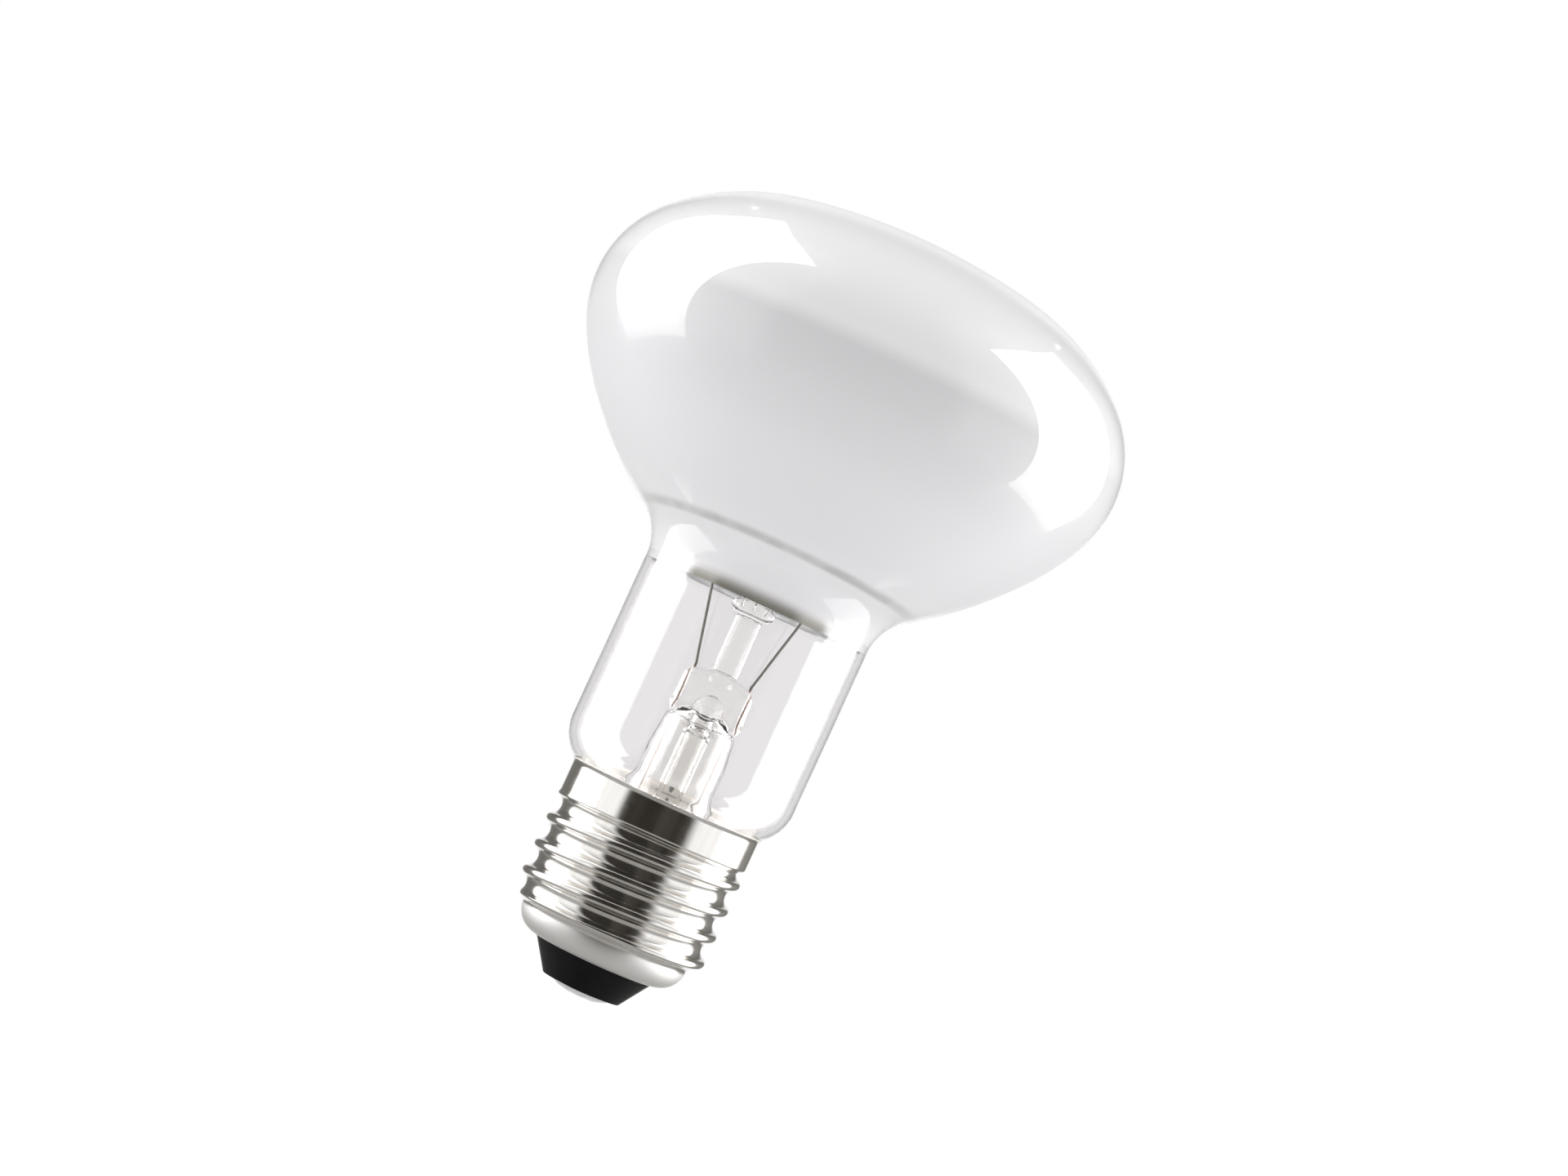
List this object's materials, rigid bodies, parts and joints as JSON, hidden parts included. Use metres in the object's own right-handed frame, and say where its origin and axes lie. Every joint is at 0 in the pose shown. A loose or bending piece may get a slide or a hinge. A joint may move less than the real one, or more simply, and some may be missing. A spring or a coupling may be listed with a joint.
{
  "type": "reflector bulb",
  "caption": "Mushroom-shaped reflector bulb: mirrored glass head with frosted front, clear neck over a glass stem, and an E27 screw cap.",
  "frame": {"origin": "on the lamp's axis, at the flat foot of the centre contact, the lowest point of the cap", "axes": "+Z along the lamp's axis from the cap to the dome; +Y towards the side solder joint at the back of the rim; +X towards the right-hand lead"},
  "size_m": [0.0728, 0.0728, 0.1056],
  "materials": {
    "bulb_glass": "glossy soda-lime glass, clear at the neck, mirrored inside the head and frosted inside the front",
    "stem_glass": "clear lead-free stem glass",
    "seal_wire": "copper-clad wire, reddish where the glass wets it",
    "inner_lead": "dull nickel wire",
    "outer_lead": "bare copper wire",
    "filament": "dark tungsten coil",
    "support_wire": "molybdenum wire",
    "cap_metal": "bright nickel plating on brass sheet, lightly scuffed",
    "insulator": "glossy black cap glass",
    "contact_metal": "tinned metal disc",
    "solder": "uneven satin solder",
    "cement": "matt tan capping cement"
  },
  "bodies": {
    "root": {"glass_bulb": "bulb_glass", "stem_flare": "stem_glass", "exhaust_tube": "stem_glass", "arbor_rod": "stem_glass", "seal_wire_left": "seal_wire", "seal_wire_right": "seal_wire", "inner_lead_left": "inner_lead", "inner_lead_right": "inner_lead", "centre_wire": "outer_lead", "side_wire": "outer_lead", "filament": "filament", "filament_support_1": "support_wire", "filament_support_2": "support_wire", "filament_support_3": "support_wire", "cap_shell": "cap_metal", "cap_insulator": "insulator", "contact_plate": "contact_metal", "centre_solder": "solder", "side_solder": "solder", "capping_cement": "cement"}
  },
  "joints": []
}
